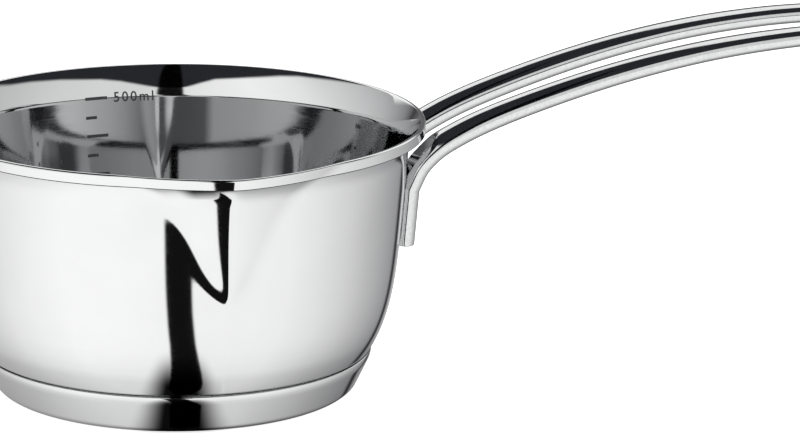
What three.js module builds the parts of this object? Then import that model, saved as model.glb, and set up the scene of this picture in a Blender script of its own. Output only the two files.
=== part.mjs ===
import * as THREE from "three";

// A small milk saucepan with a flared and rolled pouring lip, one pressed spout, a capsule base and a
// twin-bar handle.
// Sizes are in millimetres. The origin is the middle of the underside, +z is up,
// +x runs along the handle and the spout faces -y.

// Pan body
const panHeight = 68.8;
const wallThickness = 0.8;
const wallTopRadius = 58.35;
const seamRadius = 49.5;
const bellyShare = 0.56;
const bellyPower = 5.5;
const floorCornerReach = 7.3;

// Flared lip, its edge folded over and down to an upright band
const lipHeight = 8.2;
const lipBendRadius = 8.2;
const lipBendAngle = THREE.MathUtils.degToRad(22);
const lipAngle = THREE.MathUtils.degToRad(40);
const rimBandHeight = 2.9;

// Pouring spout: two flat faces that meet on a ridge and run out to a point on the wall
const spoutDrop = 36.8;
const spoutSpread = 0.62;
const spoutFaceAngle = THREE.MathUtils.degToRad(13.2);
const spoutRidgeRadius = 0.6;
const spoutCreaseWidth = 1.7;
const spoutAzimuth = -Math.PI / 2;

// Capsule base
const capHeight = 10.3;
const capLedge = 0.1;
const capSideLean = 4.25;
const capCornerRadius = 3.1;
const capThickness = 0.6;
const coreThickness = 4;
const coreRimRise = 2.6;
const brazeThickness = 0.3;

// Handle
const barThicknessAtPan = 6.3;
const barThicknessAtEnd = 4.7;
const barWidthRatio = 1.4;
const legHalfSpacing = 10.6;
const endHalfSpacing = 13.2;
const legLength = 14.5;
const legTopBelowLip = 10.5;
const crestReach = 178;
const crestRise = 16.4;
const tailLength = 24;
const tailDrop = 0.9;
const flatRunOut = 0.085;
const flatTurn = THREE.MathUtils.degToRad(5);

// Welds between the handle's flats and the wall
const weldWidth = 4.4;
const weldHeight = 5;
const weldInset = 3.6;

// Clearances
const bondGap = 0.05;
const seamGap = 0.3;
const legGap = 0.15;
const stepClearance = 0.5;

// Facets
const roundSegments = 72;
const spoutDensity = 0.55;
const barSides = 16;

// Heights of the layers in the base, from the underside up
const brazeLowerFoot = capThickness + bondGap;
const coreFoot = brazeLowerFoot + brazeThickness + bondGap;
const coreTop = coreFoot + coreThickness;
const brazeUpperFoot = coreTop + bondGap;
const bodyUnderside = brazeUpperFoot + brazeThickness + bondGap;
const panFloor = bodyUnderside + wallThickness;
const seamHeight = capHeight + seamGap;
const lipStart = panHeight - lipHeight;

const capEdgeRadius = seamRadius + capLedge;
const capFootRadius = capEdgeRadius - capSideLean;
const capAngle = Math.atan2(capSideLean, capHeight);
const capSideOffset = capThickness / Math.cos(capAngle);
const stepRadius = capEdgeRadius - capSideOffset - stepClearance;
const floorFlatRadius = stepRadius - floorCornerReach;

// Share of the wall's widening reached at a share of its height: a straight taper plus a rounded belly
function bellyWidening(rise) {
  return (1 - bellyShare) * rise + bellyShare * (1 - Math.pow(1 - rise, bellyPower));
}

function wallRadius(height) {
  const rise = (height - seamHeight) / (lipStart - seamHeight);
  return seamRadius + (wallTopRadius - seamRadius) * bellyWidening(rise);
}

function innerWallRadius(height) {
  const rise = (height - seamHeight) / (lipStart - seamHeight);
  const foot = stepRadius - wallThickness;
  return foot + (wallTopRadius - wallThickness - foot) * bellyWidening(rise);
}

// A rounded corner from a flat floor to an upright wall
function cornerArc(wall, foot, top, steps) {
  const points = [];
  for (let i = 0; i <= steps; i++) {
    const turn = (i / steps) * (Math.PI / 2);
    const r = wall - floorCornerReach * (1 - Math.sin(turn));
    points.push(new THREE.Vector2(r, top - (top - foot) * Math.cos(turn)));
  }
  return points;
}

function wallPoints(radiusAt, steps) {
  const points = [];
  for (let i = 1; i < steps; i++) {
    const height = seamHeight + (lipStart - seamHeight) * Math.pow(i / steps, 1.4);
    points.push(new THREE.Vector2(radiusAt(height), height));
  }
  return points;
}

// The lip: a bend away from the wall, then a flare that opens further, then the fold and its band.
// The outside line ends in the fold, the inside line goes over it and down the band.
function lipLines() {
  const step = 0.01;
  const wallAngle = Math.atan((wallRadius(lipStart) - wallRadius(lipStart - step)) / step);
  const foldHeight = panHeight - wallThickness;
  const bendTop = lipStart + lipBendRadius * (Math.sin(lipBendAngle) - Math.sin(wallAngle));
  const flareRadius = (foldHeight - bendTop) / (Math.sin(lipAngle) - Math.sin(lipBendAngle));
  const outside = [];
  const inside = [];
  let r = wallTopRadius;
  let z = lipStart;
  const arc = (radius, first, last, steps, skip) => {
    const startR = r;
    const startZ = z;
    for (let i = skip; i <= steps; i++) {
      const angle = first + ((last - first) * i) / steps;
      r = startR + radius * (Math.cos(first) - Math.cos(angle));
      z = startZ + radius * (Math.sin(angle) - Math.sin(first));
      outside.push(new THREE.Vector2(r, z));
      const shift = new THREE.Vector2(-Math.cos(angle), Math.sin(angle)).multiplyScalar(wallThickness);
      inside.push(new THREE.Vector2(r, z).add(shift));
    }
  };
  arc(lipBendRadius, wallAngle, lipBendAngle, 3, 0);
  arc(flareRadius, lipBendAngle, lipAngle, 4, 1);
  const rollSteps = 5;
  for (let i = 1; i <= rollSteps; i++) {
    const turn = lipAngle + ((Math.PI - lipAngle) * i) / rollSteps;
    inside.push(new THREE.Vector2(r - wallThickness * Math.cos(turn), z + wallThickness * Math.sin(turn)));
  }
  const bandFoot = panHeight - rimBandHeight;
  inside.push(new THREE.Vector2(r + wallThickness, bandFoot));
  inside.push(new THREE.Vector2(r, bandFoot));
  return { outside, inside };
}

// How far the spout is pressed out of the plain wall at an azimuth and a height
function spoutBulge(azimuth, height) {
  const halfWidth = spoutSpread * (height - panHeight + spoutDrop);
  const away = Math.abs(Math.atan2(Math.sin(azimuth - spoutAzimuth), Math.cos(azimuth - spoutAzimuth)));
  const within = halfWidth - Math.hypot(away * wallTopRadius, spoutRidgeRadius);
  if (within <= -spoutCreaseWidth) return 0;
  const slope = Math.tan(spoutFaceAngle);
  if (within >= spoutCreaseWidth) return slope * within;
  return (slope * (within + spoutCreaseWidth) ** 2) / (4 * spoutCreaseWidth);
}

// Turns a profile about z. The facets are finer round the spout, the same way on every round piece.
function revolve(profile) {
  const geometry = new THREE.LatheGeometry(profile, roundSegments);
  geometry.rotateX(Math.PI / 2);
  const position = geometry.attributes.position;
  for (let i = 0; i < position.count; i++) {
    const x = position.getX(i);
    const y = position.getY(i);
    const plain = Math.atan2(y, x);
    const azimuth = plain - spoutDensity * Math.sin(plain - spoutAzimuth);
    const radius = Math.hypot(x, y);
    position.setXY(i, radius * Math.cos(azimuth), radius * Math.sin(azimuth));
  }
  return geometry;
}

function pressSpout(geometry) {
  const position = geometry.attributes.position;
  for (let i = 0; i < position.count; i++) {
    const x = position.getX(i);
    const y = position.getY(i);
    const radius = Math.hypot(x, y);
    const bulge = spoutBulge(Math.atan2(y, x), position.getZ(i));
    if (bulge > 0) {
      position.setXY(i, (x * (radius + bulge)) / radius, (y * (radius + bulge)) / radius);
    }
  }
  return geometry;
}

// Closed skin through a row of rings with flat ends
function loft(rings) {
  const sides = rings[0].length;
  const positions = [];
  const faces = [];
  rings.forEach((ring) => ring.forEach((p) => positions.push(p.x, p.y, p.z)));
  for (let i = 0; i < rings.length - 1; i++) {
    for (let k = 0; k < sides; k++) {
      const a = i * sides + k;
      const b = i * sides + ((k + 1) % sides);
      faces.push(a, b, b + sides, a, b + sides, a + sides);
    }
  }
  const close = (ring, start, flip) => {
    const middle = new THREE.Vector3();
    ring.forEach((p) => middle.addScaledVector(p, 1 / sides));
    const centre = positions.length / 3;
    positions.push(middle.x, middle.y, middle.z);
    for (let k = 0; k < sides; k++) {
      const a = start + k;
      const b = start + ((k + 1) % sides);
      faces.push(centre, flip ? b : a, flip ? a : b);
    }
  };
  close(rings[0], 0, true);
  close(rings[rings.length - 1], (rings.length - 1) * sides, false);
  const geometry = new THREE.BufferGeometry();
  geometry.setAttribute("position", new THREE.Float32BufferAttribute(positions, 3));
  geometry.setIndex(faces);
  geometry.computeVertexNormals();
  return geometry;
}

function panBodyGeometry() {
  const lip = lipLines();
  const outside = [
    new THREE.Vector2(0, bodyUnderside),
    ...cornerArc(stepRadius, bodyUnderside, seamHeight, 4),
    new THREE.Vector2(seamRadius, seamHeight),
    ...wallPoints(wallRadius, 9),
    ...lip.outside,
  ];
  const inside = [
    new THREE.Vector2(0, panFloor),
    ...cornerArc(stepRadius - wallThickness, panFloor, seamHeight, 4),
    ...wallPoints(innerWallRadius, 9),
    ...lip.inside,
  ];
  return pressSpout(revolve([...outside, ...inside.reverse()]));
}

// Outside radius of the cap's slanted side, and its inside
function capRadius(height) {
  return capFootRadius + height * Math.tan(capAngle);
}

function capInnerRadius(height) {
  return capRadius(height) - capSideOffset;
}

// The cap's rounded foot, as a line set back from the outside
function capFootArc(setBack) {
  const steps = 5;
  const toFlat = capCornerRadius * Math.tan((Math.PI / 2 - capAngle) / 2);
  const radius = capCornerRadius - setBack;
  const points = [];
  for (let i = 0; i <= steps; i++) {
    const turn = -Math.PI / 2 + ((Math.PI / 2 - capAngle) * i) / steps;
    const r = capFootRadius - toFlat + radius * Math.cos(turn);
    points.push(new THREE.Vector2(r, capCornerRadius + radius * Math.sin(turn)));
  }
  return points;
}

function capGeometry() {
  const profile = [
    new THREE.Vector2(0, 0),
    ...capFootArc(0),
    new THREE.Vector2(capEdgeRadius, capHeight),
    new THREE.Vector2(capInnerRadius(capHeight), capHeight),
    ...capFootArc(capThickness).reverse(),
    new THREE.Vector2(0, capThickness),
  ];
  return revolve(profile);
}

// The aluminium plate: flat below, with a rim squeezed up between the body's corner and the cap
function coreGeometry() {
  const rimTop = coreTop + coreRimRise;
  const setBack = capThickness + bondGap + brazeThickness + bondGap;
  const corner = cornerArc(stepRadius + bondGap, coreTop, seamHeight, 8).filter((p) => p.y < rimTop - 0.2);
  const profile = [
    new THREE.Vector2(0, coreFoot),
    ...capFootArc(setBack),
    new THREE.Vector2(capInnerRadius(rimTop) - bondGap, rimTop),
    ...corner.reverse(),
    new THREE.Vector2(0, coreTop),
  ];
  return revolve(profile);
}

function brazeGeometry(foot, radius) {
  const profile = [
    new THREE.Vector2(0, foot),
    new THREE.Vector2(radius, foot),
    new THREE.Vector2(radius, foot + brazeThickness),
    new THREE.Vector2(0, foot + brazeThickness),
  ];
  return revolve(profile);
}

// Handle: one bar bent to a hairpin. Its centre line runs up the wall, out past the lip,
// over a crest and round the hanging end, then back the same way on the far side.
const legTop = lipStart - legTopBelowLip;
const legFoot = legTop - legLength;
const crestHeight = panHeight + crestRise;
const tailReach = crestReach + tailLength;
const legInnerEdge = legHalfSpacing - (barThicknessAtPan * barWidthRatio) / 2;

// The flats face the wall a little inside the legs' own middle lines
function legReach(height) {
  return (wallRadius(height) + legGap - legHalfSpacing * Math.sin(flatTurn)) / Math.cos(flatTurn);
}

// Shares of the way from the leg's top to the crest, outwards and upwards
const riseShares = [
  [0, 0],
  [0.0236, 0.159],
  [0.0597, 0.28],
  [0.111, 0.381],
  [0.188, 0.494],
  [0.3538, 0.679],
  [0.5195, 0.824],
  [0.685, 0.926],
  [0.851, 0.983],
  [1, 1],
];

function halfSpacing(reach) {
  const way = THREE.MathUtils.clamp((reach - legReach(legTop)) / (crestReach - legReach(legTop)), 0, 1);
  return legHalfSpacing + (endHalfSpacing - legHalfSpacing) * Math.sin((way * Math.PI) / 2);
}

// One side of the centre line as reach, height, and how much of the flat is left
function sideLine() {
  const line = [];
  const legSteps = 3;
  for (let i = 0; i < legSteps; i++) {
    const height = legFoot + (legLength * i) / legSteps;
    const lean = legReach(legFoot) + ((legReach(legTop) - legReach(legFoot)) * i) / legSteps;
    line.push({ reach: lean, height, flat: 1 });
  }
  const riseStart = legReach(legTop);
  const spanOut = crestReach - riseStart;
  const spanUp = crestHeight - legTop;
  const risePoints = riseShares.map(
    ([out, up]) => new THREE.Vector3(riseStart + out * spanOut, 0, legTop + up * spanUp),
  );
  new THREE.CatmullRomCurve3(risePoints).getPoints(30).forEach((p) => {
    const way = (p.x - riseStart) / spanOut;
    line.push({ reach: p.x, height: p.z, flat: 1 - THREE.MathUtils.smoothstep(way, 0.01, flatRunOut) });
  });
  const tailSteps = 4;
  for (let i = 1; i < tailSteps; i++) {
    const way = i / tailSteps;
    const height = crestHeight - tailDrop * way * way;
    line.push({ reach: crestReach + tailLength * way, height, flat: 0 });
  }
  return line;
}

function handleStations() {
  const near = sideLine().map((s, i, line) => {
    const before = line[Math.max(i - 1, 0)];
    const after = line[Math.min(i + 1, line.length - 1)];
    const spread = halfSpacing(after.reach) - halfSpacing(before.reach);
    const barTurn = spread / (after.reach - before.reach);
    const turn = THREE.MathUtils.lerp(barTurn, Math.tan(flatTurn), s.flat);
    const point = new THREE.Vector3(s.reach, -halfSpacing(s.reach), s.height);
    return { point, outward: new THREE.Vector3(-turn, -1, 0).normalize(), flat: s.flat };
  });
  const bend = [];
  const bendSteps = 12;
  const tailSlope = (-2 * tailDrop) / tailLength;
  for (let i = 0; i <= bendSteps; i++) {
    const turn = -Math.PI / 2 + (Math.PI * i) / bendSteps;
    const beyond = endHalfSpacing * Math.cos(turn);
    const height = crestHeight - tailDrop + tailSlope * beyond;
    const point = new THREE.Vector3(tailReach + beyond, endHalfSpacing * Math.sin(turn), height);
    bend.push({ point, outward: new THREE.Vector3(Math.cos(turn), Math.sin(turn), 0), flat: 0 });
  }
  const mirror = new THREE.Vector3(1, -1, 1);
  const far = near.map((s) => ({
    point: s.point.clone().multiply(mirror),
    outward: s.outward.clone().multiply(mirror),
    flat: s.flat,
  }));
  return [...near, ...bend, ...far.reverse()];
}

function handleGeometry() {
  const stations = handleStations();
  const rings = stations.map((s, i) => {
    const before = stations[Math.max(i - 1, 0)].point;
    const after = stations[Math.min(i + 1, stations.length - 1)].point;
    const along = after.clone().sub(before).normalize();
    const upper = s.outward.clone().cross(along).normalize();
    const way = THREE.MathUtils.clamp((s.point.x - wallTopRadius) / (tailReach - wallTopRadius), 0, 1);
    const thickness = barThicknessAtPan + (barThicknessAtEnd - barThicknessAtPan) * way;
    const ring = [];
    for (let k = 0; k < barSides; k++) {
      const turn = (-2 * Math.PI * k) / barSides;
      const out = ((thickness * barWidthRatio) / 2) * Math.cos(turn);
      const up = Math.min((thickness / 2) * Math.sin(turn), (thickness / 2) * (1 - s.flat));
      ring.push(s.point.clone().addScaledVector(s.outward, out).addScaledVector(upper, up));
    }
    return ring;
  });
  return loft(rings);
}

// A weld fills the wedge between the round wall and a leg's flat
function weldGeometry(side, height) {
  const steps = 14;
  const middle = side * (legInnerEdge + weldInset);
  const lean = (legReach(legTop) - legReach(legFoot)) / legLength;
  const onWall = [];
  const onFlat = [];
  for (let k = 0; k < steps; k++) {
    const turn = (2 * Math.PI * k) / steps;
    const y = middle + (weldWidth / 2) * Math.cos(turn);
    const z = height + (weldHeight / 2) * Math.sin(turn);
    onWall.push(new THREE.Vector3(Math.sqrt(wallRadius(z) ** 2 - y * y) + bondGap, y, z));
    const reach = legReach(legFoot) + lean * (z - legFoot);
    const beside = (Math.abs(y) - legHalfSpacing) * Math.tan(flatTurn);
    onFlat.push(new THREE.Vector3(reach - beside - bondGap, y, z));
  }
  return loft([onWall, onFlat]);
}

const polishedSteel = { color: 0xd4d6d8, roughness: 0.08, metalness: 1 };
const aluminium = { color: 0xb9bcbf, roughness: 0.45, metalness: 1 };
const brazeMetal = { color: 0xb3a684, roughness: 0.5, metalness: 1 };
const weldMetal = { color: 0x9c9a97, roughness: 0.45, metalness: 1 };

const saucepan = new THREE.Group();

function addPiece(name, geometry, finish) {
  const piece = new THREE.Mesh(geometry, new THREE.MeshStandardMaterial(finish));
  piece.name = name;
  saucepan.add(piece);
}

addPiece("base_cap", capGeometry(), polishedSteel);
addPiece("braze_lower", brazeGeometry(brazeLowerFoot, capFootArc(capCornerRadius)[0].x), brazeMetal);
addPiece("heat_core", coreGeometry(), aluminium);
addPiece("braze_upper", brazeGeometry(brazeUpperFoot, floorFlatRadius), brazeMetal);
addPiece("pan_body", panBodyGeometry(), polishedSteel);
addPiece("handle", handleGeometry(), polishedSteel);
for (const [sideName, side] of [["front", -1], ["back", 1]]) {
  addPiece(`weld_${sideName}_lower`, weldGeometry(side, legFoot + 0.25 * legLength), weldMetal);
  addPiece(`weld_${sideName}_upper`, weldGeometry(side, legFoot + 0.75 * legLength), weldMetal);
}

export default saucepan;
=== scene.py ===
import math
import bpy
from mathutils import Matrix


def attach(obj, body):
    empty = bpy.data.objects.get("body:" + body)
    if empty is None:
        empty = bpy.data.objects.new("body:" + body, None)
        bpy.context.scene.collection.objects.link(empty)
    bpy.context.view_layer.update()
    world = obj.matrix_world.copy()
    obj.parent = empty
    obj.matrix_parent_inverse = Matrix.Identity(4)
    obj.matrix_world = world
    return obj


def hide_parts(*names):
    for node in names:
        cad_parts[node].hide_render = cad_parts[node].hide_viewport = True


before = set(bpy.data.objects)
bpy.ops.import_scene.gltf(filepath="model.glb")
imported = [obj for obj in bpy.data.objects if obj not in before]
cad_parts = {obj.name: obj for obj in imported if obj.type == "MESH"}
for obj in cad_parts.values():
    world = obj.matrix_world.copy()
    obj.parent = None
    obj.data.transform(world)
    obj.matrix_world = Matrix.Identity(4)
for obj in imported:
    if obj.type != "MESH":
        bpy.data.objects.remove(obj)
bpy.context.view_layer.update()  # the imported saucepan: ten solids on one fixed body named root
print("frame loaded with", len(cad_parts), "solids")

mm = 0.001  # sizes below are in millimetres, the frame is in metres
mergeGap = 0.002 * mm  # points closer than this are one point
noiseSpan = (0.3, 0.7)  # most values of a noise texture lie in here


def hexColour(text):
    channels = [int(text[i:i + 2], 16) / 255 for i in (1, 3, 5)]
    linear = [c / 12.92 if c <= 0.04045 else ((c + 0.055) / 1.055) ** 2.4 for c in channels]
    return (*linear, 1.0)


def addNode(tree, kind, settings=None, inputs=None, stops=None):
    node = tree.nodes.new(kind)
    for key, value in (settings or {}).items():
        setattr(node, key, value)
    for key, value in (inputs or {}).items():
        if isinstance(value, bpy.types.NodeSocket):
            tree.links.new(value, node.inputs[key])
        else:
            node.inputs[key].default_value = value
    for i, (place, colour) in enumerate(stops or []):
        band = node.color_ramp.elements
        stop = band[i] if i < 2 else band.new(place)
        stop.position = place
        stop.color = hexColour(colour) if isinstance(colour, str) else (colour, colour, colour, 1)
    return node


def remap(tree, value, low, high, first, last, smooth=False):
    settings = {"interpolation_type": "SMOOTHSTEP"} if smooth else None
    return addNode(tree, "ShaderNodeMapRange", settings,
                   {0: value, 1: low, 2: high, 3: first, 4: last}).outputs[0]


def calculate(tree, operation, *values):
    return addNode(tree, "ShaderNodeMath", {"operation": operation}, dict(enumerate(values))).outputs[0]


def mixColours(tree, share, first, second):
    return addNode(tree, "ShaderNodeMix", {"data_type": "RGBA"},
                   {0: share, 6: first, 7: second}).outputs[2]


def dimColour(tree, colour, share):
    return addNode(tree, "ShaderNodeVectorMath", {"operation": "SCALE"},
                   {0: colour, "Scale": share}).outputs[0]


def noise(tree, place, size, detail):
    return addNode(tree, "ShaderNodeTexNoise", None,
                   {"Vector": place, "Scale": 1 / (size * mm), "Detail": detail}).outputs[0]


def bump(tree, height, depth, strength):
    return addNode(tree, "ShaderNodeBump", None,
                   {"Height": height, "Distance": depth * mm, "Strength": strength}).outputs[0]


def principled(tree, inputs):
    return addNode(tree, "ShaderNodeBsdfPrincipled", None, inputs).outputs[0]


def output(tree, shader):
    addNode(tree, "ShaderNodeOutputMaterial", None, {"Surface": shader})


def newMaterial(name):
    material = bpy.data.materials.new(name)
    material.use_nodes = True
    material.node_tree.nodes.clear()
    return material, material.node_tree


def objectPlace(tree):
    return addNode(tree, "ShaderNodeTexCoord").outputs["Object"]


def deselectAll():
    if bpy.context.object and bpy.context.object.mode != "OBJECT":
        bpy.ops.object.mode_set(mode="OBJECT")
    bpy.ops.object.select_all(action="DESELECT")


def selectOnly(piece):
    deselectAll()
    piece.select_set(True)
    bpy.context.view_layer.objects.active = piece


def editAll():
    bpy.ops.object.mode_set(mode="EDIT")
    bpy.ops.mesh.select_all(action="SELECT")


def smoothStep(value, low, high):
    share = min(max((value - low) / (high - low), 0), 1)
    return share * share * (3 - 2 * share)


# Camera: a long lens in front of the spout, a little to the left, looking down at the rim
cameraSetup = {
    "place": (-0.23978, -1.04053, 0.31827),
    "turn": (75.5562, -0.7264, -15.8197),
    "lens": 196.655,
    "sensor": 36,
}


def makeCamera():
    lens = bpy.data.cameras.new("camera")
    lens.lens = cameraSetup["lens"]
    lens.sensor_width = cameraSetup["sensor"]
    camera = bpy.data.objects.new("camera", lens)
    camera.location = cameraSetup["place"]
    camera.rotation_euler = [math.radians(a) for a in cameraSetup["turn"]]
    bpy.context.scene.collection.objects.link(camera)
    bpy.context.scene.camera = camera


makeCamera()
print("camera placed")


# Studio: a pale floor and white cards all round, a dark gap in front where the camera stands, a
# brighter card at the back and a dark ceiling. Only the mirror sees it, by direction. Angles are in
# degrees, round the pan from the studio's front, right is positive.
studio = {
    "frontAzimuth": -103,  # the front's direction in the frame, from +x
    "gain": 1.8,
    "warmth": (1.0, 0.996, 0.982),
    "floorTones": [
        (-180, "#9c9c9c"), (-150, "#b4b4b4"), (-120, "#d1d1d1"), (-100, "#e4e4e4"), (-80, "#f0f0f0"),
        (-60, "#f7f7f7"), (-30, "#f7f7f7"), (-10, "#f4f4f4"), (20, "#f1f1f1"), (40, "#f1f1f1"),
        (60, "#eeeeee"), (80, "#e1e1e1"), (100, "#cecece"), (120, "#b3b3b3"), (136, "#9c9c9e"),
        (150, "#868688"), (153, "#505052"), (156, "#141416"), (159, "#606062"), (163, "#929294"),
        (180, "#9c9c9c"),
    ],
    "cardTones": [
        (-180, "#565658"), (-166, "#606062"), (-156, "#38383a"), (-148, "#7c7c7e"), (-140, "#939395"),
        (-127, "#aeaeaf"), (-112, "#bfbfc0"), (-91, "#d0d0d0"), (-71, "#e2e2e2"), (-41, "#eeeeee"),
        (-13, "#e4e4e4"), (19, "#d2d2d2"), (42, "#d2d2d2"), (65, "#cdcdcd"), (105, "#bababa"),
        (142, "#b0b0b1"), (151, "#606062"), (160, "#5c5c5e"), (180, "#565658"),
    ],
    "horizon": (-6, 3),
    "cardTops": [  # how high the cards reach, before the dark ceiling
        (-180, 62), (-170, 55), (-155, 51), (-140, 48), (-130, 36), (-115, 38), (-99, 43), (-80, 48.6),
        (-67, 49.3), (-45, 47), (-23, 44), (-14, 38), (-4, 30), (9, 30), (20, 35.4), (32, 41), (45, 44),
        (71, 43.8), (90, 40.8), (102, 37), (122, 34), (132, 40), (146, 74), (165, 72), (180, 62),
    ],
    "cardTopSoft": 2.5,
    "ceiling": "#25262a",
    "gapBelow": (-70, 0, 10.2, -3.5),  # the gap's middle moves over from the floor to the horizon
    "gapAbove": (0, 8, 3.0),  # and further up the cards
    "gapHalf": 6.8,
    "gapEdge": 0.9,
    "gapWidening": [  # near the pan's foot
        (-90, 3), (-79, 6), (-72, 12), (-66, 9), (-60, 6), (-52, 3.4), (-46, 2.0),
        (-38, 0.7), (-28, 0), (0, 0),
    ],
    "gapTone": 0.006,
    "backFeet": [  # how low the brighter card at the back comes, and nowhere in front
        (-180, 30), (-172, 20), (-150, 17), (-136, 20), (-130, 90), (130, 90), (136, 20), (150, 18),
        (163, 22), (171, 30), (180, 30),
    ],
    "backSoft": 4,
    "backTone": "#ececec",
}


def frontAndRight(tree, ray):
    turn = math.radians(studio["frontAzimuth"])
    ahead = (math.cos(turn), math.sin(turn), 0)
    aside = (-math.sin(turn), math.cos(turn), 0)
    return [addNode(tree, "ShaderNodeVectorMath", {"operation": "DOT_PRODUCT"},
                    {0: ray, 1: way}).outputs["Value"] for way in (ahead, aside)]


def rampRound(tree, way, stops):
    places = [(0.5 + a / 360, value) for a, value in stops]
    return addNode(tree, "ShaderNodeValToRGB", None, {0: way}, places).outputs[0]


def aboveLine(tree, way, elevation, heights, soft):
    # 0 below a line that rises and falls round the pan and 1 above it
    line = rampRound(tree, way, [(a, height / 90) for a, height in heights])
    over = calculate(tree, "MULTIPLY_ADD", line, -math.pi / 2, elevation)
    return remap(tree, over, -math.radians(soft), math.radians(soft), 0, 1, True)


def gapLight(tree, azimuth, elevation):
    # 1 all round, and next to nothing in the gap between the front cards and on the floor below it
    low, high, first, last = [math.radians(a) for a in studio["gapBelow"]]
    centre = remap(tree, elevation, low, high, first, last)
    low, high, upper = [math.radians(a) for a in studio["gapAbove"]]
    onward = remap(tree, elevation, low, high, 0, upper - last, True)
    off = calculate(tree, "SUBTRACT", azimuth, centre)
    off = calculate(tree, "SUBTRACT", off, onward)
    off = calculate(tree, "ABSOLUTE", off)
    down = remap(tree, elevation, -math.pi / 2, 0, 0, 1)
    widths = [(1 + a / 90, math.radians(width)) for a, width in studio["gapWidening"]]
    wider = addNode(tree, "ShaderNodeValToRGB", None, {0: down}, widths).outputs[0]
    off = calculate(tree, "SUBTRACT", off, wider)
    half, edge = math.radians(studio["gapHalf"]), math.radians(studio["gapEdge"])
    return remap(tree, off, half - edge, half + edge, studio["gapTone"], 1, True)


def buildStudio():
    world = bpy.data.worlds.new("studio")
    bpy.context.scene.world = world
    world.use_nodes = True
    tree = world.node_tree
    tree.nodes.clear()
    ray = addNode(tree, "ShaderNodeTexCoord").outputs["Generated"]
    front, right = frontAndRight(tree, ray)
    up = addNode(tree, "ShaderNodeSeparateXYZ", None, {0: ray}).outputs["Z"]
    azimuth = calculate(tree, "ARCTAN2", right, front)
    elevation = calculate(tree, "ARCSINE", up)
    way = remap(tree, azimuth, -math.pi, math.pi, 0, 1)
    floorBand = rampRound(tree, way, studio["floorTones"])
    cardBand = rampRound(tree, way, studio["cardTones"])
    low, high = [math.radians(a) for a in studio["horizon"]]
    above = remap(tree, elevation, low, high, 0, 1, True)
    light = mixColours(tree, above, floorBand, cardBand)
    inCard = aboveLine(tree, way, elevation, studio["backFeet"], studio["backSoft"])
    light = mixColours(tree, inCard, light, hexColour(studio["backTone"]))
    overhead = aboveLine(tree, way, elevation, studio["cardTops"], studio["cardTopSoft"])
    light = mixColours(tree, overhead, light, hexColour(studio["ceiling"]))
    light = dimColour(tree, light, gapLight(tree, azimuth, elevation))
    light = addNode(tree, "ShaderNodeVectorMath", {"operation": "MULTIPLY"},
                    {0: light, 1: studio["warmth"]}).outputs[0]
    mirrored = addNode(tree, "ShaderNodeBackground", None, {"Color": light, "Strength": studio["gain"]})
    plain = addNode(tree, "ShaderNodeBackground", None, {"Color": (1, 1, 1, 1), "Strength": 1.0})
    path = addNode(tree, "ShaderNodeLightPath")
    both = addNode(tree, "ShaderNodeMixShader", None,
                   {0: path.outputs["Is Glossy Ray"], 1: plain.outputs[0], 2: mirrored.outputs[0]})
    addNode(tree, "ShaderNodeOutputWorld", None, {"Surface": both.outputs[0]})
    bpy.context.scene.view_settings.view_transform = "Standard"


buildStudio()
print("studio light built")


# Floor: a plain matt white sheet. The steel sees the studio's floor light instead of it, dimmed close
# to the pan's foot by a clear shade disc.
floorSheet = {
    "size": 30.0,  # metres, as is the next
    "below": 0.0002,
    "tone": "#f4f4f3",
    "glow": 0.75,
    "roughness": 0.9,
    "specular": 0.1,
}
footShade = {
    "size": 110,
    "sides": 96,
    "rings": [
        (44, "#bababa"), (47, "#d4d4d4"), (50, "#d9d9d9"), (53, "#dddddd"), (58, "#e1e1e1"),
        (63, "#f1f1f1"), (70, "#f8f8f8"), (80, "#fdfdfd"), (100, "#ffffff"),
    ],
    "behind": (10, -40, 2.8),  # deeper towards the sides and the back
    "wedgeMiddle": (46, 90, 1.2, 2.9),  # the gap's shade moves over from the foot outwards
    "wedgeHalf": 9.3,
    "wedgeSoft": 4.8,
    "wedgeFades": (56, 84),
}


def makeFloor():
    deselectAll()
    bpy.ops.mesh.primitive_plane_add(size=floorSheet["size"], location=(0, 0, -floorSheet["below"]))
    floor = bpy.context.object
    floor.name = "floor"
    # A white paper sheet: it gives the even white ground, with no sheen and hardly a shadow
    material, tree = newMaterial("matt_white_sheet")
    skin = principled(tree, {
        "Base Color": hexColour(floorSheet["tone"]),
        "Roughness": floorSheet["roughness"],
        "Specular IOR Level": floorSheet["specular"],
        "Emission Color": (1, 1, 1, 1),
        "Emission Strength": floorSheet["glow"],
    })
    # seen from below the sheet is clear, so that the pan's underside can be looked at
    below = addNode(tree, "ShaderNodeNewGeometry").outputs["Backfacing"]
    clear = addNode(tree, "ShaderNodeBsdfTransparent").outputs[0]
    sheet = addNode(tree, "ShaderNodeMixShader", None, {0: below, 1: skin, 2: clear})
    output(tree, sheet.outputs[0])
    floor.data.materials.append(material)
    floor.visible_glossy = False


def wedgeLight(tree, front, right, radius):
    # 1 all round, and next to nothing where the gap darkens the floor in front of the foot
    near, far, first, last = [size * mm for size in footShade["wedgeMiddle"]]
    middle = remap(tree, radius, near, far, first, last)
    off = calculate(tree, "SUBTRACT", right, middle)
    off = calculate(tree, "ABSOLUTE", off)
    half, soft = footShade["wedgeHalf"] * mm, footShade["wedgeSoft"] * mm
    lit = remap(tree, off, half - soft, half + soft, studio["gapTone"], 1, True)
    fades, gone = footShade["wedgeFades"]
    beyond = remap(tree, radius, fades * mm, gone * mm, 0, 1, True)
    behind = calculate(tree, "LESS_THAN", front, 0.0)
    clear = calculate(tree, "MAXIMUM", beyond, behind)
    return remap(tree, clear, 0, 1, lit, 1)


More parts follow.
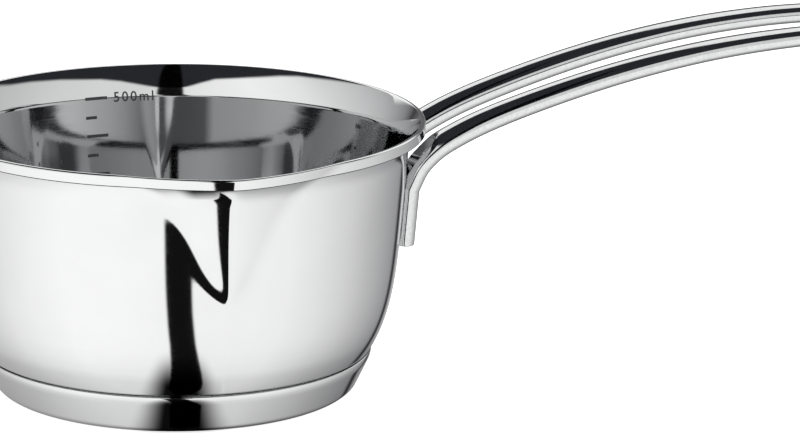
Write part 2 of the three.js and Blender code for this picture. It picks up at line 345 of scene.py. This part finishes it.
def makeFootShade():
    deselectAll()
    bpy.ops.mesh.primitive_circle_add(vertices=footShade["sides"], radius=footShade["size"] * mm,
                                      fill_type="NGON")
    shade = bpy.context.object
    shade.name = "footShade"
    # A clear film that only the mirror sees: it darkens the floor's reflection towards the foot
    material, tree = newMaterial("shade_at_the_foot")
    place = objectPlace(tree)
    front, right = frontAndRight(tree, place)
    radius = addNode(tree, "ShaderNodeVectorMath", {"operation": "LENGTH"}, {0: place}).outputs["Value"]
    low, high = footShade["rings"][0][0], footShade["rings"][-1][0]
    way = remap(tree, radius, low * mm, high * mm, 0, 1)
    stops = [((r - low) / (high - low), tone) for r, tone in footShade["rings"]]
    rings = addNode(tree, "ShaderNodeValToRGB", None, {0: way}, stops).outputs[0]
    low, high, most = footShade["behind"]
    depth = remap(tree, front, high * mm, low * mm, most, 1, True)
    rings = addNode(tree, "ShaderNodeGamma", None, {"Color": rings, "Gamma": depth}).outputs[0]
    tint = dimColour(tree, rings, wedgeLight(tree, front, right, radius))
    output(tree, addNode(tree, "ShaderNodeBsdfTransparent", None, {"Color": tint}).outputs[0])
    shade.data.materials.append(material)
    shade.visible_camera = False
    shade.visible_diffuse = False
    shade.visible_shadow = False
    shade.visible_transmission = False


makeFloor()
makeFootShade()
print("floor laid")


# Stainless steel, pressed and buffed to a mirror: the eye reads the studio in it, broken only by a
# faint polishing haze, with lines about a third of a millimetre wide and too shallow to see singly
panFinish = {
    "light": "#c6c7c8",
    "dark": "#c0c1c2",
    "roughness": (0.03, 0.06),
    "lineWidth": 0.35,
    "lineDepth": 0.00002,
    "hazeSize": 14,
    "stretch": (0.04, 0.04, 1),  # the lines run round the pan
}
# Painted shade under the rim's band: a dark steel stands in for the shadow in the crevice and shows as
# a thin dark line
grooveShadeFinish = {
    "light": "#3c3d40",
    "dark": "#2c2d30",
    "roughness": (0.3, 0.45),
    "lineWidth": 0.35,
    "lineDepth": 0.00003,
    "hazeSize": 2,
    "stretch": (0.04, 0.04, 1),
}
# The bar is only buffed by hand, so its bright side keeps a fine speckle
barFinish = {
    "light": "#c9cacb",
    "dark": "#acadaf",
    "roughness": (0.05, 0.1),
    "lineWidth": 0.35,
    "lineDepth": 0.00003,
    "hazeSize": 0.8,
    "stretch": (0.04, 1, 1),  # along the bar
}


def mirrorSteel(name, finish):
    material, tree = newMaterial(name)
    place = objectPlace(tree)
    haze = noise(tree, place, finish["hazeSize"], 3.0)
    colour = mixColours(tree, haze, hexColour(finish["dark"]), hexColour(finish["light"]))
    lines = addNode(tree, "ShaderNodeMapping", None, {"Vector": place, "Scale": finish["stretch"]})
    polish = noise(tree, lines.outputs[0], finish["lineWidth"], 2.0)
    rough = remap(tree, polish, *noiseSpan, *finish["roughness"])
    relief = bump(tree, polish, finish["lineDepth"], 1.0)
    output(tree, principled(tree, {"Base Color": colour, "Metallic": 1.0, "Roughness": rough,
                                   "Normal": relief}))
    return material


panSteel = mirrorSteel("mirror_polished_stainless", panFinish)
grooveShadeSteel = mirrorSteel("painted_groove_shade_steel", grooveShadeFinish)
barSteel = mirrorSteel("buffed_stainless_bar", barFinish)
print("steel mixed")


# Pan body: one pressed shell with a flared lip and a pouring spout
panBody = {
    "height": 68.8,
    "wall": 0.8,
    "underside": 5.4,
    "seamHeight": 10.6,
    "seamRadius": 49.5,
    "seamChamfer": (0.25, 0.12),  # in and up, over the cap's edge
    "stepRadius": 48.45,
    "cornerReach": 7.3,
    "topRadius": 58.35,
    "bellyShare": 0.56,
    "bellyPower": 5.5,
    "wallSpacing": 1.3,  # the rings crowd towards the seam
    "lipStart": 60.6,
    "lipBend": 8.2,
    "lipBendAngle": 22,
    "lipAngle": 40,
    "rimBand": 2.9,
    "edgeRounding": 0.38,
    "outermost": 62.62,
    "grooveShadeHeight": 0.36,  # the painted shade covers the underside of the rim's band up to this height
    "grooveShadeRadius": 61.3,  # and only further out than this
    "innerEase": (0.2, 53, 8),  # the inner wall leans out a little more below the lip
    "turnSteps": 320,
    "smoothAngle": 32,
}
spout = {
    "drop": 34.9,
    "halfWidth": (42.0, -72.0, 57.2),  # grows with the share of its height, by first to third power
    "faceAngle": (15.4, 11.0),  # at its foot and at the rim, as are the next two
    "ridge": (0.9, 1.5),
    "crease": (2.4, 2.5),
    "azimuth": -89.8,
    "density": 0.55,
}


def bellyWidening(rise):
    share = panBody["bellyShare"]
    return (1 - share) * rise + share * (1 - (1 - rise) ** panBody["bellyPower"])


def wallRadius(height, foot, top):
    rise = (height - panBody["seamHeight"]) / (panBody["lipStart"] - panBody["seamHeight"])
    return foot + (top - foot) * bellyWidening(rise)


def outerWall(height):
    return wallRadius(min(height, panBody["lipStart"]), panBody["seamRadius"], panBody["topRadius"])


def cornerArc(wall, foot, steps=12):
    top, reach = panBody["seamHeight"], panBody["cornerReach"]
    turns = [math.pi / 2 * i / steps for i in range(steps + 1)]
    return [(wall - reach * (1 - math.sin(a)), top - (top - foot) * math.cos(a)) for a in turns]


def wallLine(foot, top, steps=56):
    rises = [(i / steps) ** panBody["wallSpacing"] for i in range(1, steps)]
    span = panBody["lipStart"] - panBody["seamHeight"]
    heights = [panBody["seamHeight"] + span * r for r in rises]
    return [(wallRadius(z, foot, top), z) for z in heights]


def lipLines(bendSteps=16, flareSteps=20, rollSteps=14, bandSteps=4, edgeSteps=5):
    step = 0.01  # a little way down the wall, to measure its slope
    wall = panBody["wall"]
    r, z = panBody["topRadius"], panBody["lipStart"]
    first = math.atan((r - outerWall(z - step)) / step)
    bend, last = math.radians(panBody["lipBendAngle"]), math.radians(panBody["lipAngle"])
    bendTop = z + panBody["lipBend"] * (math.sin(bend) - math.sin(first))
    flare = (panBody["height"] - wall - bendTop) / (math.sin(last) - math.sin(bend))
    arcs = ((panBody["lipBend"], first, bend, bendSteps), (flare, bend, last, flareSteps))
    outside, inside = [], []
    for radius, low, high, steps in arcs:
        startR, startZ = r, z
        for i in range(1 if outside else 0, steps + 1):
            a = low + (high - low) * i / steps
            r = startR + radius * (math.cos(low) - math.cos(a))
            z = startZ + radius * (math.sin(a) - math.sin(low))
            outside.append((r, z))
            inside.append((r - wall * math.cos(a), z + wall * math.sin(a)))
    # the edge rolls over and comes down as an upright band with a rounded foot
    turns = [last + (math.pi - last) * i / rollSteps for i in range(1, rollSteps + 1)]
    inside += [(r - wall * math.cos(a), z + wall * math.sin(a)) for a in turns]
    foot = panBody["height"] - panBody["rimBand"]
    size = panBody["edgeRounding"]
    inside += [(r + wall, z + (foot + size - z) * i / bandSteps) for i in range(1, bandSteps + 1)]
    for middle, low in ((r + wall - size, 0), (r + size, math.pi / 2)):
        turns = [low + math.pi / 2 * i / edgeSteps for i in range(1 if low == 0 else 0, edgeSteps + 1)]
        inside += [(middle + size * math.cos(a), foot + size - size * math.sin(a)) for a in turns]
    return outside, inside


def spoutBulge(azimuth, height):
    share = min(max((height - panBody["height"]) / spout["drop"] + 1, 0), 1)
    halfWidth = sum(c * share ** (i + 1) for i, c in enumerate(spout["halfWidth"]))
    ends = [spout[key] for key in ("faceAngle", "ridge", "crease")]
    faceAngle, ridge, crease = [foot + (rim - foot) * share for foot, rim in ends]
    off = azimuth - math.radians(spout["azimuth"])
    away = abs(math.atan2(math.sin(off), math.cos(off))) * panBody["topRadius"]
    within = halfWidth - math.hypot(away, ridge)
    slope = math.tan(math.radians(faceAngle))
    if within <= -crease:
        return 0
    if within >= crease:
        return slope * within
    return slope * (within + crease) ** 2 / (4 * crease)


def mergeAndFaceOut(piece):
    selectOnly(piece)
    editAll()
    bpy.ops.mesh.remove_doubles(threshold=mergeGap)
    bpy.ops.mesh.normals_make_consistent(inside=False)
    bpy.ops.object.mode_set(mode="OBJECT")


def spinProfile(name, points, steps):
    deselectAll()
    bpy.ops.mesh.primitive_plane_add(size=mm)
    piece = bpy.context.object
    piece.name = name
    piece.data.name = name
    editAll()
    bpy.ops.mesh.merge(type="CENTER")  # one point, drawn out along the profile
    bpy.ops.transform.translate(value=(points[0][0] * mm, 0, points[0][1] * mm))
    for before, after in zip(points, points[1:]):
        step = ((after[0] - before[0]) * mm, 0, (after[1] - before[1]) * mm)
        bpy.ops.mesh.extrude_vertices_move(TRANSFORM_OT_translate={"value": step})
    bpy.ops.object.mode_set(mode="OBJECT")
    bpy.ops.object.modifier_add(type="SCREW")  # turned once round z
    screw = piece.modifiers[-1]
    screw.steps = steps
    screw.render_steps = steps
    screw.use_merge_vertices = True
    screw.merge_threshold = mergeGap
    bpy.ops.object.modifier_apply(modifier=screw.name)
    mergeAndFaceOut(piece)
    return piece


def finishPiece(piece, material, smoothAngle, nodes=()):
    selectOnly(piece)
    bpy.ops.object.shade_smooth_by_angle(angle=math.radians(smoothAngle))
    piece.data.materials.clear()
    piece.data.materials.append(material)
    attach(piece, "root")
    if nodes:
        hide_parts(*nodes)


def innerEase(height):
    size, middle, spread = panBody["innerEase"]
    return size * (1 - math.erf((height - middle) / spread))


def innerLine():
    wall = panBody["wall"]
    inFoot = panBody["stepRadius"] - wall
    line = cornerArc(inFoot, panBody["underside"] + wall)
    line += wallLine(inFoot, panBody["topRadius"] - wall) + lipLines()[1]
    return [(r - innerEase(z), z) for r, z in line]


def shellProfile():
    foot, seam = panBody["underside"], panBody["seamRadius"]
    inset, lift = panBody["seamChamfer"]
    outside = [(0, foot)] + cornerArc(panBody["stepRadius"], foot)
    outside += [(seam - inset, panBody["seamHeight"]), (seam, panBody["seamHeight"] + lift)]
    outside += wallLine(seam, panBody["topRadius"]) + lipLines()[0]
    inside = [(0, foot + panBody["wall"])] + innerLine()
    return outside + inside[::-1]


def makePanBody():
    piece = spinProfile("panShell", shellProfile(), panBody["turnSteps"])
    centre = math.radians(spout["azimuth"])
    # painted shade: faces under the rim's band are picked here to take the dark steel as the crevice's
    # shadow
    grooveShadeTop = panBody["height"] - panBody["rimBand"] + panBody["grooveShadeHeight"]
    inGrooveShade = set()
    for v in piece.data.vertices:
        radius = math.hypot(v.co.x, v.co.y)
        if radius < mergeGap:
            continue
        if radius > panBody["grooveShadeRadius"] * mm and v.co.z < grooveShadeTop * mm:
            inGrooveShade.add(v.index)
        turn = math.atan2(v.co.y, v.co.x)
        turn -= spout["density"] * math.sin(turn - centre)  # the steps lie closer round the spout
        radius = min(radius, panBody["outermost"] * mm) + spoutBulge(turn, v.co.z / mm) * mm
        v.co.x = radius * math.cos(turn)
        v.co.y = radius * math.sin(turn)
    finishPiece(piece, panSteel, panBody["smoothAngle"], ["pan_body"])
    # the second material is the painted shade line under the rim's band
    piece.data.materials.append(grooveShadeSteel)
    for face in piece.data.polygons:
        if inGrooveShade.issuperset(face.vertices):
            face.material_index = 1


makePanBody()
print("pan body pressed")


# Base cap: the bright capsule under the pan
baseCap = {
    "height": 10.3,
    "edgeRadius": 49.6,
    "footRadius": 45.35,
    "cornerRadius": 3.1,
    "wall": 0.6,
    "shoulder": 2.0,  # the side turns upright over this height below the edge
    "edgeRounding": 0.3,
    "turnSteps": 320,
    "smoothAngle": 32,
}


def capFootArc(setBack, angle, steps=14):
    corner = baseCap["cornerRadius"]
    middle = baseCap["footRadius"] - corner * math.tan((math.pi / 2 - angle) / 2)
    radius = corner - setBack
    turns = [-math.pi / 2 + (math.pi / 2 - angle) * i / steps for i in range(steps + 1)]
    return [(middle + radius * math.cos(a), corner + radius * math.sin(a)) for a in turns]


def capProfile(sideSteps=10, edgeSteps=5, rounds=20):
    keys = ("height", "edgeRadius", "shoulder", "edgeRounding")
    top, edge, shoulder, size = [baseCap[key] for key in keys]
    rise = top - size - shoulder
    angle = 0.4  # a first guess at the side's lean, settled by going round
    for _ in range(rounds):
        angle = math.atan2(edge - shoulder * math.tan(angle / 2) - baseCap["footRadius"], rise)
    turnRadius = shoulder / math.sin(angle)
    profile = [(0, 0)] + capFootArc(0, angle)
    start = profile[-1]
    bendStart = (edge - turnRadius * (1 - math.cos(angle)), rise)
    profile += [[a + (b - a) * i / sideSteps for a, b in zip(start, bendStart)]
                for i in range(1, sideSteps + 1)]
    turns = [angle * (1 - i / sideSteps) for i in range(1, sideSteps + 1)]
    profile += [(edge - turnRadius * (1 - math.cos(a)), top - size - turnRadius * math.sin(a))
                for a in turns]
    turns = [math.pi / 2 * i / edgeSteps for i in range(1, edgeSteps + 1)]
    profile += [(edge - size * (1 - math.cos(a)), top - size * (1 - math.sin(a))) for a in turns]
    profile += [(edge - baseCap["wall"] / math.cos(angle), top)]
    return profile + capFootArc(baseCap["wall"], angle)[::-1] + [(0, baseCap["wall"])]


def makeBaseCap():
    piece = spinProfile("capsuleCap", capProfile(), baseCap["turnSteps"])
    finishPiece(piece, panSteel, baseCap["smoothAngle"], ["base_cap"])


makeBaseCap()
print("base cap turned")


# Handle: one round bar, pressed flat towards the wall at both ends and bent to a hairpin
handleBar = {
    "thicknessAtPan": 6.3,
    "thicknessAtEnd": 4.7,
    "widthRatio": 1.4,
    "legHalfSpacing": 10.6,
    "endHalfSpacing": 13.2,
    "legLength": 14.5,
    "legTop": 50.0,
    "crestReach": 178,
    "crestHeight": 85.2,
    "tailLength": 24,
    "tailDrop": 0.9,
    "flatRunOut": (0.01, 0.085),  # shares of the reach, over which the flat turns round again
    "flatTurn": 1.5,  # degrees that the flats turn with the wall
    "legGap": 0.15,
    "sides": 96,
    "endRounding": 0.45,
    "endTurns": (0.15, 0.4, 0.7, 1.0, 1.3, math.pi / 2),
    "legSteps": 10,
    "riseSteps": 180,
    "tailSteps": 10,
    "bendSteps": 48,
    "smoothAngle": 28,
    "wallGap": 0.12,  # the flats follow the wall's curve this far off it
    "mostFill": 2.2,  # and fill up to it by no more than this
    "riseShares": [
        (0, 0), (0.0236, 0.159), (0.0597, 0.28), (0.111, 0.381), (0.188, 0.494),
        (0.3538, 0.679), (0.5195, 0.824), (0.685, 0.926), (0.851, 0.983), (1, 1),
    ],
}


def legReach(height):
    turn = math.radians(handleBar["flatTurn"])
    off = handleBar["legHalfSpacing"] * math.sin(turn)
    return (outerWall(height) + handleBar["legGap"] - off) / math.cos(turn)


def throughPoints(points, count):
    ends = [[2 * a - b for a, b in zip(points[i], points[j])] for i, j in ((0, 1), (-1, -2))]
    row = [ends[0]] + [list(p) for p in points] + [ends[1]]
    least = 1e-6  # keeps points that coincide from dividing by nothing
    line = []
    for i in range(count + 1):
        place = i / count * (len(points) - 1)
        k = min(int(place), len(points) - 2)
        t = place - k
        p0, p1, p2, p3 = row[k:k + 4]
        # centripetal spacing keeps the curve free of loops where the points crowd
        gaps = [max(math.dist(a, b) ** 0.5, least) for a, b in ((p0, p1), (p1, p2), (p2, p3))]
        spot = []
        for a, b, c, d in zip(p0, p1, p2, p3):
            m1 = ((b - a) / gaps[0] - (c - a) / (gaps[0] + gaps[1]) + (c - b) / gaps[1]) * gaps[1]
            m2 = ((c - b) / gaps[1] - (d - b) / (gaps[1] + gaps[2]) + (d - c) / gaps[2]) * gaps[1]
            cubic = 2 * b - 2 * c + m1 + m2
            square = 3 * c - 3 * b - 2 * m1 - m2
            spot.append(cubic * t ** 3 + square * t ** 2 + m1 * t + b)
        line.append(spot)
    return line


def halfSpacing(reach):
    start = legReach(handleBar["legTop"])
    way = min(max((reach - start) / (handleBar["crestReach"] - start), 0), 1)
    spread = handleBar["endHalfSpacing"] - handleBar["legHalfSpacing"]
    return handleBar["legHalfSpacing"] + spread * math.sin(way * math.pi / 2)


def barSide():
    # along one leg and one side of the bar: reach, height, how flat it is, how far its skin is set in
    top, length = handleBar["legTop"], handleBar["legLength"]
    foot = top - length
    low, high = legReach(foot), legReach(top)
    end, legSteps = handleBar["endRounding"], handleBar["legSteps"]
    # the cut end is rounded over, then the leg runs up the wall
    steps = [(end * (1 - math.cos(a)), end * (1 - math.sin(a))) for a in handleBar["endTurns"]]
    steps += [(end + (length - end) * i / legSteps, 0) for i in range(1, legSteps)]
    line = [(low + (high - low) * (way / length), foot + way, 1, inset) for way, inset in steps]
    out = handleBar["crestReach"] - high
    up = handleBar["crestHeight"] - top
    corners = [(high + a * out, top + b * up) for a, b in handleBar["riseShares"]]
    for reach, height in throughPoints(corners, handleBar["riseSteps"]):
        way = (reach - high) / out
        line.append((reach, height, 1 - smoothStep(way, *handleBar["flatRunOut"]), 0))
    for i in range(1, handleBar["tailSteps"]):
        way = i / handleBar["tailSteps"]
        line.append((handleBar["crestReach"] + handleBar["tailLength"] * way,
                     handleBar["crestHeight"] - handleBar["tailDrop"] * way * way, 0, 0))
    return line


def barStations():
    line = barSide()
    near = []
    for i, (reach, height, flat, inset) in enumerate(line):
        before, after = line[max(i - 1, 0)], line[min(i + 1, len(line) - 1)]
        spread = halfSpacing(after[0]) - halfSpacing(before[0])
        barTurn = spread / (after[0] - before[0])
        turn = barTurn + (math.tan(math.radians(handleBar["flatTurn"])) - barTurn) * flat
        size = math.hypot(turn, 1)
        near.append(((reach, -halfSpacing(reach), height), (-turn / size, -1 / size, 0), flat, inset))
    bend = []
    half = handleBar["endHalfSpacing"]
    tailReach = handleBar["crestReach"] + handleBar["tailLength"]
    slope = -2 * handleBar["tailDrop"] / handleBar["tailLength"]
    for i in range(handleBar["bendSteps"] + 1):
        turn = -math.pi / 2 + math.pi * i / handleBar["bendSteps"]
        beyond = half * math.cos(turn)
        height = handleBar["crestHeight"] - handleBar["tailDrop"] + slope * beyond
        outward = (math.cos(turn), math.sin(turn), 0)
        bend.append(((tailReach + beyond, half * math.sin(turn), height), outward, 0, 0))
    far = [((p[0], -p[1], p[2]), (o[0], -o[1], 0), flat, inset) for p, o, flat, inset in near]
    return near + bend + far[::-1]


def barFrames():
    stations = barStations()
    start = panBody["topRadius"]
    tailReach = handleBar["crestReach"] + handleBar["tailLength"]
    thick, thin = handleBar["thicknessAtPan"], handleBar["thicknessAtEnd"]
    frames = []
    for i, (point, outward, flat, inset) in enumerate(stations):
        before, after = stations[max(i - 1, 0)][0], stations[min(i + 1, len(stations) - 1)][0]
        along = [b - a for a, b in zip(before, after)]
        size = math.hypot(*along)
        along = [a / size for a in along]
        upper = (outward[1] * along[2] - outward[2] * along[1],
                 outward[2] * along[0] - outward[0] * along[2],
                 outward[0] * along[1] - outward[1] * along[0])
        size = math.hypot(*upper)
        way = min(max((point[0] - start) / (tailReach - start), 0), 1)
        thickness = thick + (thin - thick) * way
        frames.append((point, outward, [u / size for u in upper], thickness, flat, inset))
    return frames


def makeHandle():
    frames = barFrames()
    deselectAll()
    bpy.ops.mesh.primitive_circle_add(vertices=handleBar["sides"], radius=mm, fill_type="NOTHING")
    piece = bpy.context.object
    piece.name = "handleBar"
    piece.data.name = "handleBar"
    bpy.ops.object.modifier_add(type="SCREW")  # a straight bar first, with a step for each frame
    screw = piece.modifiers[-1]
    screw.angle = 0
    screw.screw_offset = (len(frames) - 1) * mm
    screw.steps = len(frames) - 1
    screw.render_steps = screw.steps
    bpy.ops.object.modifier_apply(modifier=screw.name)
    editAll()
    bpy.ops.mesh.fill_holes(sides=0)
    bpy.ops.object.mode_set(mode="OBJECT")
    for v in piece.data.vertices:
        point, outward, upper, thickness, flat, inset = frames[round(v.co.z / mm)]
        turn = math.atan2(v.co.y, v.co.x)
        out = (thickness * handleBar["widthRatio"] / 2 - inset) * math.cos(turn)
        spot = [p + o * out for p, o in zip(point, outward)]
        gap = math.hypot(spot[0], spot[1]) - outerWall(spot[2])
        meets = flat * flat * min(max(gap - handleBar["wallGap"], 0), handleBar["mostFill"])
        up = min((thickness / 2 - inset) * math.sin(turn), thickness / 2 * (1 - flat) + meets)
        v.co = [(p + o * out + u * up) * mm for p, o, u in zip(point, outward, upper)]
    selectOnly(piece)
    editAll()
    bpy.ops.mesh.normals_make_consistent(inside=False)
    finishPiece(piece, barSteel, handleBar["smoothAngle"], ["handle"])


makeHandle()
print("handle bent")


# Volume scale: dark ink fired onto the inner wall, long and short marks by turns and one label
volumeScale = {
    "start": 101.4,
    "longEnd": 95.35,
    "shortEnd": 98.35,
    "heights": [61.2, 56.2, 51.35, 46.3, 41.25, 36.2, 31.1, 25.9, 20.5],
    "thick": 0.8,
    "proud": 0.05,
    "tickBevel": 0.012,
    "tickCuts": 7,
    "label": "500ml",
    "labelStart": 93.5,
    "labelEnd": 82.9,
    "labelFoot": 59.9,
    "labelHeight": 2.65,
    "labelCuts": 3,
    "textSize": 3.9,
    "letterGap": 1.3,
    "bolder": 0.05,
    "curveSteps": 5,
    "ink": ("#3a3b3e", "#4a4b4e"),
    "speckle": 0.6,
    "roughness": (0.5, 0.7),
    "smoothAngle": 30,
}


def firedInk():
    # Ceramic ink, screen printed and fired: matt and nearly black, a little thinner in places
    material, tree = newMaterial("fired_ceramic_ink")
    place = objectPlace(tree)
    cover = noise(tree, place, volumeScale["speckle"], 3.0)
    dark, pale = [hexColour(tone) for tone in volumeScale["ink"]]
    colour = mixColours(tree, cover, dark, pale)
    rough = remap(tree, cover, *noiseSpan, *volumeScale["roughness"])
    output(tree, principled(tree, {"Base Color": colour, "Roughness": rough}))
    return material


def wallInside(rimMargin=1, lipMargin=3):
    # the inner wall's points from the seam to just below the rolled edge
    low, high = panBody["seamHeight"], panBody["height"] - rimMargin
    widest = panBody["topRadius"] + lipMargin
    return sorted((z, r) for r, z in innerLine() if low < z < high and r < widest)


wallPoints = wallInside()


def innerRadius(height):
    for (lowZ, lowR), (highZ, highR) in zip(wallPoints, wallPoints[1:]):
        if height <= highZ:
            return lowR + (highR - lowR) * (height - lowZ) / (highZ - lowZ)
    return wallPoints[-1][1]


def ontoInnerWall(piece, azimuth, height):
    # the flat piece's x runs round the wall and its y up the wall; its z stands off the steel
    for v in piece.data.vertices:
        z = height + v.co.y / mm
        radius = innerRadius(z)
        turn = math.radians(azimuth) - v.co.x / mm / radius
        radius -= v.co.z / mm
        v.co = (radius * math.cos(turn) * mm, radius * math.sin(turn) * mm, z * mm)


def joinPieces(pieces, name):
    deselectAll()
    for piece in pieces:
        piece.select_set(True)
    bpy.context.view_layer.objects.active = pieces[0]
    bpy.ops.object.join()
    whole = bpy.context.object
    whole.name = name
    whole.data.name = name
    mergeAndFaceOut(whole)
    return whole


def makeTick(end, height):
    start, thick, proud = [volumeScale[key] for key in ("start", "thick", "proud")]
    length = math.radians(start - end) * innerRadius(height)
    deselectAll()
    bpy.ops.mesh.primitive_cube_add(size=1)
    tick = bpy.context.object
    editAll()
    bpy.ops.transform.resize(value=(length * mm, thick * mm, proud * mm))
    bpy.ops.transform.translate(value=(length / 2 * mm, 0, proud / 2 * mm))
    bpy.ops.mesh.bevel(offset=volumeScale["tickBevel"] * mm, segments=1)
    bpy.ops.mesh.subdivide(number_cuts=volumeScale["tickCuts"])
    bpy.ops.object.mode_set(mode="OBJECT")
    ontoInnerWall(tick, start, height)
    return tick


def makeLabel():
    proud, foot = volumeScale["proud"], volumeScale["labelFoot"]
    deselectAll()
    bpy.ops.object.text_add()
    label = bpy.context.object
    label.data.body = volumeScale["label"]
    label.data.size = volumeScale["textSize"] * mm
    label.data.space_character = volumeScale["letterGap"]
    label.data.extrude = proud / 2 * mm
    label.data.offset = volumeScale["bolder"] * mm
    label.data.resolution_u = volumeScale["curveSteps"]
    bpy.ops.object.convert(target="MESH")
    label = bpy.context.object
    editAll()
    bpy.ops.mesh.quads_convert_to_tris()
    bpy.ops.mesh.subdivide(number_cuts=volumeScale["labelCuts"])  # points enough to follow the wall
    bpy.ops.object.mode_set(mode="OBJECT")
    xs = [v.co.x for v in label.data.vertices]
    ys = [v.co.y for v in label.data.vertices]
    width = math.radians(volumeScale["labelStart"] - volumeScale["labelEnd"]) * innerRadius(foot)
    across = width * mm / (max(xs) - min(xs))
    upward = volumeScale["labelHeight"] * mm / (max(ys) - min(ys))
    left, low = min(xs), min(ys)
    for v in label.data.vertices:
        v.co.x = (v.co.x - left) * across
        v.co.y = (v.co.y - low) * upward
        v.co.z += proud / 2 * mm
    ontoInnerWall(label, volumeScale["labelStart"], foot)
    return label


def makeVolumeScale():
    ends = (volumeScale["longEnd"], volumeScale["shortEnd"])
    pieces = [makeTick(ends[i % 2], z) for i, z in enumerate(volumeScale["heights"])] + [makeLabel()]
    scale = joinPieces(pieces, "volumeScale")
    finishPiece(scale, firedInk(), volumeScale["smoothAngle"])


makeVolumeScale()
print("volume scale printed")


# Weld marks: where the handle's spot welds show through inside, round and faintly tinted by the heat
weldMarks = {
    "across": 9.8,  # from the handle's middle
    "heights": (39.1, 46.4),
    "radius": 0.9,
    "proud": 0.06,
    "segments": 28,
    "rings": 10,
    "tint": ("#8a8783", "#5e5c5b"),
    "roughness": (0.22, 0.4),
    "bloom": 0.9,
    "relief": (0.02, 0.6),  # depth and strength
    "smoothAngle": 40,
}


def heatTintedSteel(name):
    # Stainless steel after a spot weld: duller than the buffed wall, with a brownish bloom
    material, tree = newMaterial(name)
    place = objectPlace(tree)
    bloom = noise(tree, place, weldMarks["bloom"], 4.0)
    pale, dark = [hexColour(tone) for tone in weldMarks["tint"]]
    colour = mixColours(tree, bloom, pale, dark)
    rough = remap(tree, bloom, *noiseSpan, *weldMarks["roughness"])
    relief = bump(tree, bloom, *weldMarks["relief"])
    output(tree, principled(tree, {"Base Color": colour, "Metallic": 1.0, "Roughness": rough,
                                   "Normal": relief}))
    return material


weldSteel = heatTintedSteel("heat_tinted_weld")


def makeWeldMark(side, height):
    deselectAll()
    bpy.ops.mesh.primitive_uv_sphere_add(segments=weldMarks["segments"], ring_count=weldMarks["rings"],
                                         radius=mm)
    mark = bpy.context.object
    editAll()
    size = weldMarks["radius"]
    bpy.ops.transform.resize(value=(size, size, weldMarks["proud"]))  # a flat lens of metal
    bpy.ops.object.mode_set(mode="OBJECT")
    azimuth = math.degrees(math.asin(side * weldMarks["across"] / innerRadius(height)))
    ontoInnerWall(mark, azimuth, height)
    return mark


def makeWeldMarks():
    pieces = [makeWeldMark(side, height) for side in (-1, 1) for height in weldMarks["heights"]]
    marks = joinPieces(pieces, "weldMarks")
    finishPiece(marks, weldSteel, weldMarks["smoothAngle"])


makeWeldMarks()
print("weld marks raised")


# The solids that stay: the core and braze inside the base, and the welds behind the handle's flats.
# Rolled aluminium has a matt silvery grain, and brass braze a warmer, frosted one.
coreMetal = {"light": "#b9babc", "dark": "#a6a7aa", "grain": 0.5, "roughness": (0.3, 0.42)}
brazeMetal = {"light": "#b59a63", "dark": "#94794a", "grain": 0.7, "roughness": (0.35, 0.5)}
rolledOut = (0.08, 1, 1)  # the grain is drawn out along x


def rolledMetal(name, finish):
    material, tree = newMaterial(name)
    place = objectPlace(tree)
    drawn = addNode(tree, "ShaderNodeMapping", None, {"Vector": place, "Scale": rolledOut}).outputs[0]
    grain = noise(tree, drawn, finish["grain"], 3.0)
    colour = mixColours(tree, grain, hexColour(finish["dark"]), hexColour(finish["light"]))
    rough = remap(tree, grain, *noiseSpan, *finish["roughness"])
    output(tree, principled(tree, {"Base Color": colour, "Metallic": 1.0, "Roughness": rough}))
    return material


def dressSolids():
    finishes = {
        "heat": rolledMetal("rolled_aluminium", coreMetal),
        "braze": rolledMetal("brass_braze", brazeMetal),
        "weld": weldSteel,
    }
    for name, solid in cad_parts.items():
        finish = finishes.get(name.split("_")[0])
        if finish is None:
            continue
        solid.data.materials.clear()
        solid.data.materials.append(finish)


dressSolids()
print("inner solids dressed")
